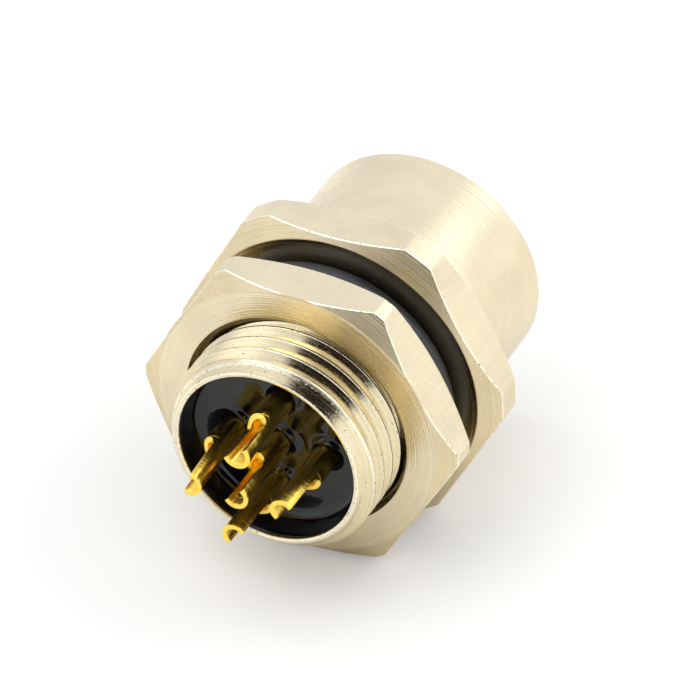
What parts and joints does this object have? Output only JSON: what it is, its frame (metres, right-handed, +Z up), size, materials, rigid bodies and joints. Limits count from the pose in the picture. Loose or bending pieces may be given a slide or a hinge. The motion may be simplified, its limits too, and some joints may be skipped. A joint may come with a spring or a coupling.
{
  "type": "m12 panel socket connector",
  "caption": "Round panel connector: threaded shank with a hexagonal flange and lock nut, a seal ring between them, a smooth socket barrel in front and gold solder cups at the rear.",
  "frame": {"origin": "on the connector's axis, in the plane of the flange's seat, which bears on the panel", "axes": "+Y along the axis from the solder cups towards the mating end, +Z up from the flange's bottom flat, +X to the right as seen from the solder end"},
  "size_m": [0.0186, 0.0226, 0.017],
  "materials": {
    "nickel_plate": "turned and milled brass with a warm satin nickel plate",
    "gold_plate": "gold plate on turned brass",
    "carrier_plastic": "moulded black glass-filled nylon",
    "potting_resin": "cast black epoxy, glossy",
    "seal_rubber": "moulded black nitrile rubber"
  },
  "bodies": {
    "housing": {"shell": "nickel_plate", "contact_carrier": "carrier_plastic", "contact_1": "gold_plate", "contact_2": "gold_plate", "contact_3": "gold_plate", "contact_4": "gold_plate", "contact_5": "gold_plate", "potting": "potting_resin", "panel_seal": "seal_rubber"},
    "lock_nut": {"lock_nut": "nickel_plate"}
  },
  "joints": [
    {"name": "nut_travel", "type": "slide", "parent": "housing", "child": "lock_nut", "axis": [0, -1, 0], "range_m": [0, 0.007]}
  ]
}
